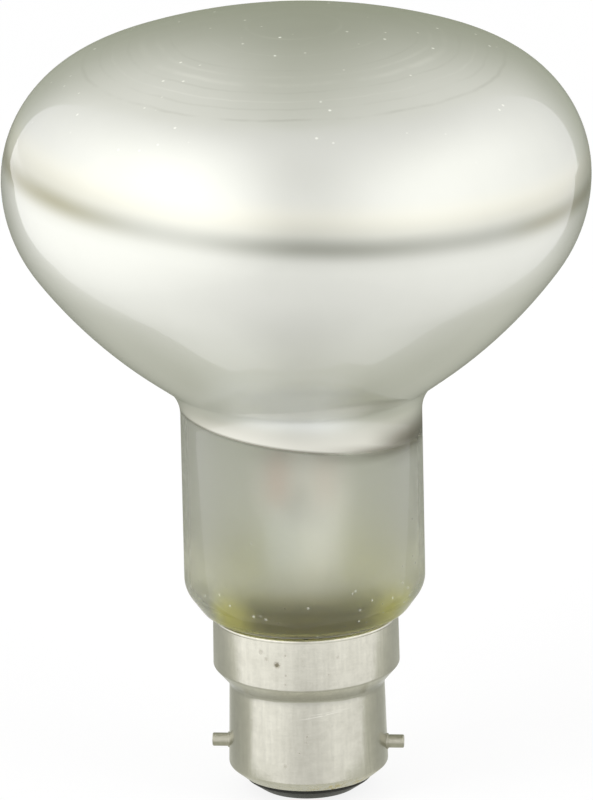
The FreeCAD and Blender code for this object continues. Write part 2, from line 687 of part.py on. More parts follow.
def make_cap_shell():
    """The pressed aluminium cap: skirt, step, shell and the edge crimped over the insulator."""
    body = new_piece("cap_shell")
    section, outside, inside = sheet_section(body, [
        ("sizes.skirt_top_radius", "sizes.rim_height"),
        ("sizes.skirt_radius", "sizes.skirt_bottom_height"),
        ("sizes.shell_top_radius", "sizes.shell_top_height"),
        ("sizes.shell_radius", "sizes.crimp_top_height"),
        ("sizes.crimp_edge_radius", CRIMP_EDGE_HEIGHT),
    ], "sizes.cap_sheet")
    revolved(body, section)
    round_ring(body, "skirt_bend", outside[1], "sizes.skirt_corner")
    round_ring(body, "skirt_bend_inside", inside[1], "sizes.skirt_corner - sizes.cap_sheet")
    round_ring(body, "step_bend", outside[2], "sizes.shell_top_fillet")
    round_ring(body, "step_bend_inside", inside[2], "sizes.shell_top_fillet + sizes.cap_sheet")
    round_ring(body, "crimp_bend", outside[3], "sizes.crimp_corner")
    round_ring(body, "crimp_bend_inside", inside[3], "sizes.crimp_corner - sizes.cap_sheet")
    lip_sketch = new_sketch(body, "lip_section", "XZ_Plane")
    across = "sizes.skirt_top_radius + sizes.lip_stand - sizes.lip_section_radius"
    up = "sizes.rim_height - sizes.lip_section_radius"
    centre = Vector(worked_out(across), worked_out(up), 0)
    lip_circle = Part.Circle(centre, Vector(0, 0, 1), size("lip_section_radius"))
    index = lip_sketch.addGeometry(lip_circle, False)
    bound(lip_sketch, across, "DistanceX", ORIGIN, 1, index, 3)
    bound(lip_sketch, up, "DistanceY", ORIGIN, 1, index, 3)
    bound(lip_sketch, "sizes.lip_section_radius", "Radius", index)
    lip = body.newObject("PartDesign::Revolution", "rolled_lip")
    lip.Profile = lip_sketch
    lip.ReferenceAxis = (lip_sketch, ["V_Axis"])
    lip.Angle = 360
    doc.recompute()
    pocket_circles(body, "pin_holes", "YZ_Plane", [("0", "sizes.pin_height")],
                   "sizes.pin_shoulder_radius + sizes.fit_gap")
    return body


def make_cement():
    """The ring of basing cement between the glass and the skirt."""
    outside = f"{CAP_BORE} - sizes.skirt_radius + sizes.skirt_top_radius - sizes.fit_gap"
    top = "sizes.rim_height - 2 * sizes.lip_section_radius - sizes.fit_gap"
    foot = "sizes.seal_end_height - sizes.stem_wall - sizes.fit_gap"
    return turned_piece("basing_cement", [
        (f"{SEAL_RADIUS} + sizes.fit_gap", top),
        (f"{SEAL_RADIUS} + sizes.fit_gap", foot),
        (f"{SEAL_RADIUS} - sizes.cement_foot", foot),
        (f"{SEAL_RADIUS} - sizes.cement_foot", f"{foot} - sizes.cement_foot"),
        (outside, f"{foot} - sizes.cement_foot"),
        (outside, top),
    ])


def make_pins():
    """The two bayonet pins: studs with a flange inside, a shoulder and a dimpled free end."""
    # The flat flange stands back from the round wall by more than the wall's rise across it
    wall_inside = f"({SHELL_BORE} - sizes.pin_flange_setback)"
    shoulder = "(sizes.shell_radius + sizes.pin_shoulder_stand)"
    end = "sizes.pin_span / 2"
    height = size("pin_height")
    for turn, name in ((180, "left"), (0, "right")):
        pin = turned_piece(f"bayonet_pin_{name}", [
            (f"{wall_inside} - sizes.pin_flange_thickness", "0"),
            (f"{wall_inside} - sizes.pin_flange_thickness", "sizes.pin_flange_radius"),
            (wall_inside, "sizes.pin_flange_radius"),
            (wall_inside, "sizes.pin_shoulder_radius"),
            (shoulder, "sizes.pin_shoulder_radius"),
            (shoulder, "sizes.pin_radius"),
            (end, "sizes.pin_radius"),
            (end, "sizes.pin_dimple_radius"),
            (f"{end} - sizes.pin_dimple_depth", "0"),
        ], "H_Axis")
        pin.Placement = Placement(Vector(0, 0, height), Rotation(Vector(0, 0, 1), turn))


def make_insulator():
    """The black glass that closes the shell and carries the two contacts."""
    inside_crimp = f"({CRIMP_BORE} - sizes.fit_gap)"
    crimp_lift = f"(sizes.fit_gap / cos(sizes.crimp_angle * 1 deg) - sizes.fit_gap * {CRIMP_SLOPE})"
    outside = f"({SHELL_BORE} - sizes.fit_gap)"
    outside_foot = f"({CRIMP_EDGE_HEIGHT} + {crimp_lift} + ({outside} - {inside_crimp}) * {CRIMP_SLOPE})"
    body = turned_piece("insulator", [
        ("0", "sizes.insulator_face_height"),
        ("sizes.insulator_face_radius", "sizes.insulator_face_height"),
        (inside_crimp, f"{CRIMP_EDGE_HEIGHT} - sizes.insulator_neck_length"),
        (inside_crimp, f"{CRIMP_EDGE_HEIGHT} + {crimp_lift}"),
        (outside, outside_foot),
        (outside, "sizes.insulator_top_height"),
        ("sizes.insulator_rim_radius", "sizes.insulator_top_height"),
        ("sizes.insulator_floor_radius", "sizes.insulator_floor_height"),
        ("0", "sizes.insulator_floor_height"),
    ])
    corner = Vector(worked_out(outside), worked_out(outside_foot), 0)
    round_ring(body, "insulator_corner", corner, "sizes.crimp_corner - sizes.cap_sheet - sizes.fit_gap")
    centres = [("0", "sizes.contact_offset"), ("0", "-sizes.contact_offset")]
    pocket_circles(body, "eyelet_holes", "XY_Plane", centres, "sizes.eyelet_radius + sizes.fit_gap")
    pocket_circles(body, "plate_recesses", "XY_Plane", centres, "sizes.contact_plate_radius + sizes.fit_gap",
                   "sizes.contact_plate_thickness", "sizes.insulator_face_height")
    return body


def make_contacts():
    """Each contact: a brass eyelet in the insulator and the solder dome on it."""
    face = "sizes.insulator_face_height"
    plate_top = f"{face} + sizes.contact_plate_thickness"
    floor = "sizes.insulator_floor_height"
    lip_top = f"{floor} + sizes.eyelet_lip_thickness"
    wire_bore = "sizes.outer_lead_radius + sizes.fit_gap"
    dome = f"((sizes.solder_radius ^ 2 + {face} ^ 2) / (2 * {face}))"
    for side, name in ((-1, "front"), (1, "back")):
        place = Placement(Vector(0, side * size("contact_offset"), 0), Rotation())
        eyelet = turned_piece(f"contact_plate_{name}", [
            ("sizes.eyelet_bore_radius", face),
            ("sizes.contact_plate_radius", face),
            ("sizes.contact_plate_radius", plate_top),
            ("sizes.eyelet_radius", plate_top),
            ("sizes.eyelet_radius", floor),
            ("sizes.eyelet_lip_radius", floor),
            ("sizes.eyelet_lip_radius", lip_top),
            ("sizes.eyelet_bore_radius", lip_top),
        ])
        eyelet.Placement = place
        solder = turned_piece(f"solder_{name}", [
            ("0", "0", dome),
            ("sizes.solder_radius", face),
            (wire_bore, face),
            (wire_bore, f"({face} - sizes.fit_gap) / 2"),
            ("0", f"({face} - sizes.fit_gap) / 2"),
        ])
        solder.Placement = place


def check_document():
    """Stop if any object failed, or any piece isn't one valid solid."""
    for item in doc.Objects:
        if {"Invalid", "Error"} & set(item.State):
            raise RuntimeError(f"{item.Label} failed: {item.State}")
    for piece in PIECES:
        shape = piece.Shape
        if shape.isNull() or not shape.isValid() or len(shape.Solids) != 1:
            raise RuntimeError(f"{piece.Label} isn't one valid solid")


make_envelope()
make_stem_flare()
make_exhaust_tube()
make_support_rod()
make_support_wires()
make_filament()
make_leads()
make_cap_shell()
make_cement()
make_pins()
make_insulator()
make_contacts()
doc.recompute()
check_document()

os.makedirs("parts", exist_ok=True)
for piece in PIECES:
    piece.Shape.exportStep(f"parts/{piece.Label}.step")
    print(piece.Label, round(piece.Shape.Volume, 3))
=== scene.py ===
"""Looks for the mirrored reflector bulb: glass, mirror, cap, pins and inner parts in a soft studio.

Sizes are in millimetres and become metres where a mesh is made. The bulb stands on the origin,
+Z points to its head and the bayonet pins lie along X. Places on it are also given as across,
near and up: to the picture's right, towards the camera and up the axis.
"""
import math

import bpy
from mathutils import Matrix, Vector


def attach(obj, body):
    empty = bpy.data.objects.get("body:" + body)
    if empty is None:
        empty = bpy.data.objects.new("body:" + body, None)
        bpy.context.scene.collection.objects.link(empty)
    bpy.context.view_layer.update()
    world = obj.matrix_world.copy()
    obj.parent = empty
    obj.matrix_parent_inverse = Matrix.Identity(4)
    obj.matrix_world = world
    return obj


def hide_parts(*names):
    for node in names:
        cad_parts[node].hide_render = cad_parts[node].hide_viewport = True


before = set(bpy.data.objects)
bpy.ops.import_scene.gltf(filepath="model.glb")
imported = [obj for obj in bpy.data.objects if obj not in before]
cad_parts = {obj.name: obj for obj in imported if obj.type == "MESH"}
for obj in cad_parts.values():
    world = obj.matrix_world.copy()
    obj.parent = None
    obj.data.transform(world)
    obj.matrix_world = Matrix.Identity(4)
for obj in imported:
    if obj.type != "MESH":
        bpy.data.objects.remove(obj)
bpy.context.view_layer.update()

MM = 0.001
WHITE = (1, 1, 1, 1)

# A tip on the axis starts as a ring of this radius, and points this close together become one
TIP_RADIUS = 0.001
MERGE_DISTANCE = 0.0001

# Camera, as the photograph was taken
VIEW_AZIMUTH = 5.5
VIEW_ELEVATION = 18.0
VIEW_ROLL = 1.25
VIEW_DISTANCE = 1600.0
VIEW_HEIGHT = 49.1
VIEW_ASIDE = -0.62
VIEW_RAISE = 7.3
VIEW_LIMIT = 50000.0
LENS = 521.2
SENSOR_WIDTH = 36.0

# Glass envelope: the outline walks up from the seal to the pole
SEAL_RADIUS = 12.24
SEAL_END = 21.5
SEAL_TOP = 25.6
SEAL_FILLET = 0.8
FOOT_LOWER_RADIUS = 2.6
FOOT_CONE_LENGTH = 2.18
FOOT_UPPER_RADIUS = 3.9
FOOT_ANGLE = 35.5
FOOT_END_ANGLE = 82.4368
NECK_FOOT = 31.5
NECK_TOP = 55.2
THROAT_RADIUS = 6.4
BOWL_END_ANGLE = 53.1
BOWL_CONE_LENGTH = 3.28
BOWL_LOWER_RADIUS = 70.2
BOWL_JOINT_ANGLE = 35.7686
BOWL_UPPER_RADIUS = 20.2
SHOULDER_RADIUS = 17.1681
DOME_ANGLE = 68.4896
DOME_RADIUS = 80.8
GLASS_WALL = 0.8

# The mirror film's two slanted lines: height on the axis and fall per millimetre across the picture
EQUATOR_LINE = 91.0
EQUATOR_FALL = 0.063
FILM_EDGE = 54.64
FILM_EDGE_FALL = 0.1157

# Cap shell: rolled lip, skirt, step, shell and crimped edge
CAP_SHEET = 0.35
LIP_RADIUS = 0.33
LIP_RISE = 0.12
LIP_OVERHANG = 0.1
RIM_HEIGHT = 26.0
RIM_TUCK = 0.1
SKIRT_TOP_RADIUS = 12.86
SKIRT_RADIUS = 12.95
SKIRT_BOTTOM = 18.75
SKIRT_CORNER = 0.4
STEP_FILLET = 1.2
SHELL_TOP_RADIUS = 10.78
SHELL_TOP = 16.2
SHELL_RADIUS = 11.07
CRIMP_TOP = 4.2
CRIMP_ANGLE = 39.7
CRIMP_CORNER = 0.55
CRIMP_EDGE_RADIUS = 9.35

# Bayonet pins, measured out from the axis
PIN_HEIGHT = 6.95
PIN_START = 10.0
PIN_END = 13.35
PIN_RADIUS = 0.93
PIN_CHAMFER = 0.1
PIN_SHOULDER_END = 11.2
PIN_SHOULDER_RADIUS = 1.1
PIN_SHOULDER_CHAMFER = 0.05
DIMPLE_RADIUS = 0.5
DIMPLE_DEPTH = 0.7

# Insulator: face, short neck, flange behind the crimped edge, well inside, and each corner's rounding
FACE_HEIGHT = 0.68
FACE_RADIUS = 6.7
INSULATOR_NECK_RADIUS = 8.85
INSULATOR_NECK_BOTTOM = 2.2
INSULATOR_NECK_TOP = 2.75
FLANGE_RADIUS = 10.68
FLANGE_BOTTOM = 4.25
FLANGE_TOP = 5.1
WELL_EDGE_RADIUS = 8.9
WELL_RADIUS = 6.4
WELL_FLOOR = 3.4
INSULATOR_ROUNDINGS = [0.8, 0.4, 0.2, 0.5, 0.3, 0.3, 0.5]

# The copper-sheathed wires, which look closer together through the curved glass
COPPER_SPACING = 6.4

# Blowing arcs round the dome's pole: radius, half width and strength, dark below nought
DOME_ARCS = ((6.6, 0.5, 0.5), (12.3, 0.3, 0.25), (17.0, 0.35, -0.25), (18.7, 0.5, 0.4), (20.7, 0.8, 0.6),
             (22.6, 0.35, -0.35), (24.7, 0.3, 0.35), (26.4, 0.35, -0.3), (28.8, 0.45, -0.6))

# Bright motes on the foot and the lower neck: across, near and up, and how bright each is
FOOT_MOTES = ((-7.16, 14.93, 30.45, 0.9), (-5.51, 15.53, 30.21, 0.6), (-6.26, 15.38, 30.66, 0.3),
              (0.36, 16.69, 32.09, 0.5), (7.32, 14.17, 29.2, 0.7), (7.47, 14.9, 31.06, 0.4),
              (6.89, 15.21, 33.91, 0.4), (15.7, 5.7, 39.92, 0.7), (16.02, 4.73, 38.2, 0.4),
              (15.29, 6.71, 34.97, 0.5), (14.19, 8.8, 32.07, 0.5), (14.43, 8.29, 30.87, 0.6),
              (-7.26, 15.04, 41.13, 0.25), (-11.81, 11.81, 32.71, 0.3), (-14.73, 7.87, 33.47, 0.3))
MOTE_RADIUS = 0.26

# Dark marks on the cap: across, near and up, radius and how dark each is
CAP_MARKS = ((-4.1, 12.28, 22.4, 0.62, 1.0), (-6.3, 11.3, 24.0, 0.5, 0.3), (-5.6, 11.7, 23.1, 0.4, 0.35),
             (-2.97, 12.6, 23.8, 0.25, 0.4), (-2.9, 12.6, 20.9, 0.25, 0.35), (-3.0, 12.6, 19.6, 0.22, 0.3),
             (-0.2, 11.0, 11.3, 0.3, 0.35), (-0.3, 11.0, 10.4, 0.25, 0.35), (-3.25, 10.5, 6.9, 0.4, 0.3),
             (-1.3, 10.9, 8.9, 0.2, 0.35), (4.3, 12.2, 23.3, 0.3, 0.25), (3.4, 10.5, 12.6, 0.25, 0.3))

# Studio: the cards' corners are across and near on the floor, and across and up behind the bulb
FLOOR_SIZE = 6000.0
FLOOR_CARD_LIFT = 0.3
FLOOR_CARD = ((-350, -385), (-190, -150), (-140, -58), (-104, -19), (-80, -1), (-46, 7), (-25, 6),
              (-16, 15), (17, 17), (26, 8), (48, 8), (78, 0), (110, -33), (170, -125), (400, -380),
              (400, -1500), (-350, -1500))
BACK_CARD_NEAR = -500
BACK_CARD = ((-320, 0.5), (440, 0.5), (275, 600), (300, 960), (190, 1270), (0, 1390), (-215, 1260),
             (-330, 950))
LAMP_DISTANCE = 900.0
LAMP_SIZE = 500.0


def aside(across, near, up=0.0):
    """Turn a place given as across, near and up into the bulb's frame."""
    turn = math.radians(VIEW_AZIMUTH)
    right = Vector((math.cos(turn), math.sin(turn), 0))
    towards = Vector((math.sin(turn), -math.cos(turn), 0))
    return right * across + towards * near + Vector((0, 0, up))


def heading(azimuth, elevation):
    """Direction from the bulb: azimuth from the camera towards the picture's right, elevation up."""
    turn = math.radians(azimuth)
    lift = math.radians(elevation)
    return aside(math.sin(turn), math.cos(turn)) * math.cos(lift) + Vector((0, 0, math.sin(lift)))


class Outline:
    """A section drawn as a pen walks, in straight runs and smooth bends."""

    def __init__(self, across, up, heading_angle):
        self.points = [(across, up)]
        self.angle = math.radians(heading_angle)

    def line(self, length, pieces):
        """Walk straight on, in a number of equal pieces."""
        step = length / pieces
        for _ in range(pieces):
            across, up = self.points[-1]
            self.points.append((across + step * math.cos(self.angle),
                                up + step * math.sin(self.angle)))
        return self

    def bend(self, radius, degrees, fineness):
        """Walk round an arc, left for a positive turn, in pieces of at most fineness degrees."""
        side = math.copysign(1, degrees)
        across, up = self.points[-1]
        normal = self.angle + side * math.pi / 2
        centre_across = across + radius * math.cos(normal)
        centre_up = up + radius * math.sin(normal)
        count = max(2, math.ceil(abs(degrees) / fineness))
        for step in range(1, count + 1):
            spoke = normal + math.pi + math.radians(degrees) * step / count
            self.points.append((centre_across + radius * math.cos(spoke),
                                centre_up + radius * math.sin(spoke)))
        self.angle += math.radians(degrees)
        return self


def rounded(corners, radii, fineness):
    """Corners of a section joined by straight runs, each inner corner rounded with its radius."""
    points = [corners[0]]
    for before, corner, after, radius in zip(corners, corners[1:], corners[2:], radii):
        here = Vector(corner)
        way_in = (here - Vector(before)).normalized()
        way_out = (Vector(after) - here).normalized()
        turn = way_in.angle_signed(way_out)
        start = here - way_in * radius * math.tan(abs(turn) / 2)
        arc = Outline(start.x, start.y, math.degrees(math.atan2(way_in.y, way_in.x)))
        points += arc.bend(radius, -math.degrees(turn), fineness).points
    return points + [corners[-1]]


def deselect():
    """Leave edit mode and deselect every object."""
    if bpy.context.object and bpy.context.object.mode != "OBJECT":
        bpy.ops.object.mode_set(mode="OBJECT")
    bpy.ops.object.select_all(action="DESELECT")


def pick(piece):
    """Select one piece and nothing else."""
    deselect()
    piece.select_set(True)
    bpy.context.view_layer.objects.active = piece


def turned(name, points, segments=192, along="Z", side=1, centre=(0, 0, 0), closed=False):
    """Draw out a ring of edges through the outline's points, (radius, place on the axis).

    A ring of radius nought closes in a point. A closed outline joins its last ring to its first.
    """
    deselect()
    axis = Vector((0, 0, 1)) if along == "Z" else Vector((side, 0, 0))
    origin = Vector(centre) * MM
    radius, place = points[0]
    start = TIP_RADIUS if radius == 0 else radius
    turn = (0, 0, 0) if along == "Z" else (0, side * math.pi / 2, 0)
    bpy.ops.mesh.primitive_circle_add(vertices=segments, radius=start * MM, fill_type="NOTHING",
                                      location=origin + axis * place * MM, rotation=turn)
    piece = bpy.context.object
    piece.name = name
    bpy.ops.object.transform_apply(location=True, rotation=True, scale=True)
    bpy.ops.object.mode_set(mode="EDIT")
    bpy.ops.mesh.select_all(action="SELECT")
    if radius == 0:
        # The ring is doubled, one copy closes as the tip, and the other is selected to go on from
        bpy.ops.mesh.extrude_region_move()
        bpy.ops.mesh.merge(type="CENTER")
        bpy.ops.object.mode_set(mode="OBJECT")
        ring = [vertex.index < segments for vertex in piece.data.vertices]
        piece.data.vertices.foreach_set("select", ring)
        bpy.ops.object.mode_set(mode="EDIT")
    before, level = start, place
    for radius, place in points[1:]:
        bpy.ops.mesh.extrude_region_move(TRANSFORM_OT_translate={"value": axis * (place - level) * MM})
        if radius == 0:
            bpy.ops.mesh.merge(type="CENTER")
            break
        growth = radius / before
        scale = (growth, growth, 1) if along == "Z" else (1, growth, growth)
        bpy.ops.transform.resize(value=scale, center_override=origin + axis * place * MM)
        before, level = radius, place
    bpy.ops.mesh.select_all(action="SELECT")
    if closed:
        bpy.ops.mesh.remove_doubles(threshold=MERGE_DISTANCE * MM)
    bpy.ops.mesh.normals_make_consistent(inside=False)
    bpy.ops.object.mode_set(mode="OBJECT")
    return piece


def walled(piece, thickness, inner_slot=0):
    """Give a turned skin its wall, inwards, with the inner faces in a material slot of their own."""
    wall = piece.modifiers.new("wall", "SOLIDIFY")
    wall.thickness = thickness * MM
    wall.offset = -1
    wall.use_even_offset = True
    wall.material_offset = inner_slot
    pick(piece)
    bpy.ops.object.modifier_apply(modifier=wall.name)


def smoothed(piece, degrees=40):
    """Shade a piece smooth, with edges sharper than the angle left crisp."""
    pick(piece)
    bpy.ops.object.shade_smooth_by_angle(angle=math.radians(degrees))


class Wire:
    """A socket that takes part in plain arithmetic: each operation adds its Math node."""

    def __init__(self, sheet, socket):
        self.sheet = sheet
        self.socket = socket

    def __add__(self, other):
        return self.sheet.math("ADD", self, other)

    def __sub__(self, other):
        return self.sheet.math("SUBTRACT", self, other)

    def __rsub__(self, other):
        return self.sheet.math("SUBTRACT", other, self)

    def __mul__(self, other):
        return self.sheet.math("MULTIPLY", self, other)

    def __truediv__(self, other):
        return self.sheet.math("DIVIDE", self, other)

    def __abs__(self):
        return self.sheet.math("ABSOLUTE", self)

    __radd__ = __add__
    __rmul__ = __mul__


class Sheet:
    """The nodes of one material or of the world."""

    def __init__(self, tree):
        self.tree = tree
        tree.nodes.clear()

    def node(self, kind, settings=None, inputs=None, output=0):
        """Add a node: its settings first, then values or wires for its sockets."""
        made = self.tree.nodes.new(kind)
        for name, value in (settings or {}).items():
            setattr(made, name, value)
        for name, value in (inputs or {}).items():
            if isinstance(value, Wire):
                self.tree.links.new(value.socket, made.inputs[name])
            else:
                made.inputs[name].default_value = value
        return Wire(self, made.outputs[output])

    def math(self, operation, *values):
        """One Math node."""
        return self.node("ShaderNodeMath", {"operation": operation}, dict(enumerate(values)))

    def most(self, *values):
        """The largest of several values."""
        largest = values[0]
        for value in values[1:]:
            largest = self.math("MAXIMUM", largest, value)
        return largest

    def step(self, value, low, high):
        """Rise smoothly from 0 at low to 1 at high, or fall where high is below low."""
        return self.node("ShaderNodeMapRange", {"interpolation_type": "SMOOTHSTEP"},
                         {"Value": value, "From Min": low, "From Max": high})

    def band(self, value, low_end, low, high, high_end):
        """1 from low to high, and smoothly 0 at the two ends."""
        return self.step(value, low_end, low) * self.step(value, high_end, high)

    def ridge(self, value, half_width):
        """1 where the value is nought, and smoothly 0 a half width away."""
        return self.step(abs(value), half_width, 0.0)

    def mix(self, factor, first, second):
        """Mix two colours: the node's colour sockets are 6 and 7, and its colour output is 2."""
        return self.node("ShaderNodeMix", {"data_type": "RGBA"}, {0: factor, 6: first, 7: second}, 2)

    def tint(self, first, second):
        """Multiply two colours."""
        return self.node("ShaderNodeMix", {"data_type": "RGBA", "blend_type": "MULTIPLY"},
                         {0: 1.0, 6: first, 7: second}, 2)

    def light(self, strength):
        """White of a given strength."""
        return self.node("ShaderNodeVectorMath", {"operation": "SCALE"}, {0: (1, 1, 1), "Scale": strength})

    def place(self):
        """Object coordinates in millimetres."""
        spot = self.node("ShaderNodeTexCoord", output="Object")
        return self.node("ShaderNodeVectorMath", {"operation": "SCALE"}, {0: spot, "Scale": 1 / MM})

    def axes(self, place):
        """The three numbers of a place."""
        split = self.node("ShaderNodeSeparateXYZ", inputs={0: place})
        return tuple(Wire(self, socket) for socket in split.socket.node.outputs)

    def stretched(self, place, scale):
        """A place scaled unevenly, for a pattern that runs one way."""
        return self.node("ShaderNodeMapping", inputs={"Vector": place, "Scale": scale})

    def noise(self, place, scale, detail=3.0, roughness=0.55):
        """Noise from 0 to 1, scale in features per millimetre."""
        return self.node("ShaderNodeTexNoise", inputs={"Vector": place, "Scale": scale, "Detail": detail,
                                                       "Roughness": roughness})

    def specks(self, place, pitch, size, share):
        """Small round specks: one at most in each cell of the pitch, in a share of the cells."""
        cells = self.node("ShaderNodeTexVoronoi", inputs={"Vector": place, "Scale": 1 / pitch})
        chance = self.axes(Wire(self, cells.socket.node.outputs["Color"]))[0]
        return self.step(cells, size / pitch, 0.4 * size / pitch) * self.math("LESS_THAN", chance, share)

    def spot(self, place, centre, radius):
        """1 at a centre and smoothly 0 a radius away."""
        away = self.node("ShaderNodeVectorMath", {"operation": "DISTANCE"}, {0: place, 1: centre}, "Value")
        return self.step(away, radius, 0.35 * radius)

    def ray(self, kind):
        """1 for rays of one kind, such as Is Camera Ray."""
        return self.node("ShaderNodeLightPath", output=kind)

    def bump(self, height, depth, strength):
        """Bump from a height of about 0 to 1 that stands for a depth in millimetres."""
        return self.node("ShaderNodeBump", inputs={"Height": height, "Distance": depth * MM,
                                                   "Strength": strength})

    def principled(self, **sockets):
        """A Principled shader, its sockets named with underscores for spaces."""
        named = {name.replace("_", " "): value for name, value in sockets.items()}
        return self.node("ShaderNodeBsdfPrincipled", inputs=named)

    def emission(self, colour):
        """A surface that shows a colour as it is, whatever light falls on it."""
        return self.node("ShaderNodeEmission", inputs={"Color": colour, "Strength": 1.0})

    def blend(self, factor, first, second):
        """A Mix Shader."""
        return self.node("ShaderNodeMixShader", inputs={0: factor, 1: first, 2: second})

    def surface(self, shader):
        """Send a shader to the output."""
        in_world = isinstance(self.tree.id_data, bpy.types.World)
        end = self.tree.nodes.new("ShaderNodeOutputWorld" if in_world else "ShaderNodeOutputMaterial")
        self.tree.links.new(shader.socket, end.inputs["Surface"])


def new_material(name):
    """Return a material and the sheet of its nodes."""
    material = bpy.data.materials.new(name)
    material.use_nodes = True
    return material, Sheet(material.node_tree)


def across_picture(x, y):
    """How far a place lies from the axis to the picture's right."""
    turn = math.radians(VIEW_AZIMUTH)
    return x * math.cos(turn) + y * math.sin(turn)


def towards_camera(x, y):
    """How far a place lies from the axis towards the camera."""
    turn = math.radians(VIEW_AZIMUTH)
    return x * math.sin(turn) - y * math.cos(turn)


def off_axis(sheet, x, y):
    """How far a place lies from the axis, whichever way."""
    return sheet.math("SQRT", x * x + y * y)


def film_cover(sheet, across, z):
    """Height above the mirror film's lower edge, and the film's share, which blurs on the right."""
    above = z - FILM_EDGE + across * FILM_EDGE_FALL
    softness = sheet.step(across, 2.0, 17.0) * 1.3 + 0.22
    return above, sheet.step(above / softness, -1.0, 1.0)


def satin_mirror(sheet, place, across, z, cloud):
    """Colour of the mirrored bowl, with the soft dark line where the frosted dome meets it."""
    from_line = z - EQUATOR_LINE + across * EQUATOR_FALL + (sheet.noise(place, 0.05) - 0.5) * 0.5
    equator = sheet.ridge(from_line, 2.3) * 0.55 + sheet.ridge(from_line - 0.6, 4.4) * 0.45
    # The line's darkness and colour change across the picture as painted light and shade: darkest just
    # left of the middle, fainter to the right, lighter and olive at the two ends
    ends = sheet.step(across, -18.0, -34.0) * 0.4 + sheet.step(across, 26.0, 35.0) * 0.25
    side_shade = sheet.step(across, -16.0, 2.0) * 0.4 - sheet.step(across, 4.0, 22.0) * 0.25
    satin = sheet.mix(cloud, (0.66, 0.665, 0.61, 1), (0.74, 0.745, 0.695, 1))
    satin = sheet.tint(satin, sheet.mix(sheet.step(z, 86.0, 64.0), WHITE, (0.97, 0.98, 0.92, 1)))
    # A painted cream highlight in a band just above the line
    satin = sheet.mix(sheet.ridge(from_line - 3.4, 3.4) * 0.35, satin, (0.78, 0.75, 0.60, 1))
    line_tone = sheet.mix(ends, (0.27, 0.275, 0.23, 1), (0.40, 0.35, 0.14, 1))
    return sheet.mix(equator * (0.5 + side_shade + ends), satin, line_tone)


def film_end(sheet, across, above, z, satin):
    """The film towards its lower edge: a painted highlight in the throat, then thin, then a dark line.

    The line is fine on the left and blurs on the right. The film's colour and the line are returned.
    """
    blurred = sheet.step(across, 0.0, 14.0)
    # A painted highlight in the throat, left of the middle, front and back
    throat_highlight = sheet.step(z, 73.0, 63.0) * sheet.step(above, 0.5, 5.0)
    throat_highlight = throat_highlight * sheet.step(abs(across + 3.0), 13.0, 5.0)
    satin = sheet.mix(throat_highlight, satin, (0.92, 0.94, 0.90, 1))
    thin = sheet.step(above, 4.5 + blurred * 3.0, 0.8)
    thin_tone = sheet.mix(blurred, (0.70, 0.69, 0.62, 1), (0.58, 0.57, 0.50, 1))
    satin = sheet.mix(thin * 0.9, satin, thin_tone)
    fine_line = sheet.ridge(above, 0.45) * (1 - blurred) * 0.75
    soft_line = sheet.ridge(above - 0.6, 4.2) * sheet.step(across, 8.0, 15.0) * 0.95
    short_line = sheet.ridge(above + 0.35, 1.9) * blurred
    line = sheet.most(fine_line, soft_line, short_line)
    return sheet.mix(line, satin, (0.14, 0.13, 0.09, 1)), line


def blowing_arcs(sheet, place, x, y, z):
    """Broken rings round the pole from blowing: pale above nought, dark below it."""
    radius = off_axis(sheet, x, y)
    wobble = (sheet.noise(place, 0.07) - 0.5) * 1.8 + (sheet.noise(place, 0.25) - 0.5) * 0.3
    arcs = 0.0
    for arc_radius, half_width, strength in DOME_ARCS:
        arcs = arcs + sheet.ridge(radius - arc_radius + wobble, half_width) * strength
    patches = sheet.step(sheet.noise(place, 0.1, 4.0), 0.32, 0.60) * sheet.step(z, 100.0, 104.5)
    in_front = sheet.step(towards_camera(x, y) / radius, -0.2, 0.5)
    return arcs * patches * (in_front * 0.75 + 0.25)


def neck_glass(sheet, place, across, z, line):
    """Clear glass below the film, with painted light of the cement's yellow in its foot, and motes of
    dust.
    """
    clear = sheet.mix(sheet.noise(place, 0.15), (0.94, 0.95, 0.895, 1), (0.97, 0.975, 0.93, 1))
    clear = sheet.mix(line, clear, (0.24, 0.23, 0.16, 1))
    # Painted light: the cement's yellow in the glass of the foot, in the middle
    within = sheet.step(abs(across - 0.5), 13.4, 11.4)
    clear = sheet.mix(sheet.step(z, 35.5, 27.5) * within * 0.85, clear, (0.84, 0.80, 0.20, 1))
    glass = sheet.principled(Base_Color=clear, Roughness=0.03, IOR=1.5, Transmission_Weight=1.0)
    right_side = sheet.step(across, 12.8, 14.5) * sheet.step(z, 46.0, 38.0) * 0.3
    motes = sheet.specks(place, 1.3, 0.17, sheet.step(z, 37.0, 26.0) * 0.45 + right_side)
    for *spot, brightness in FOOT_MOTES:
        motes = sheet.most(motes, sheet.spot(place, aside(*spot), MOTE_RADIUS) * brightness)
    speck = sheet.principled(Base_Color=(0.96, 0.96, 0.90, 1), Roughness=0.6)
    return sheet.blend(motes * 0.52, glass, speck)


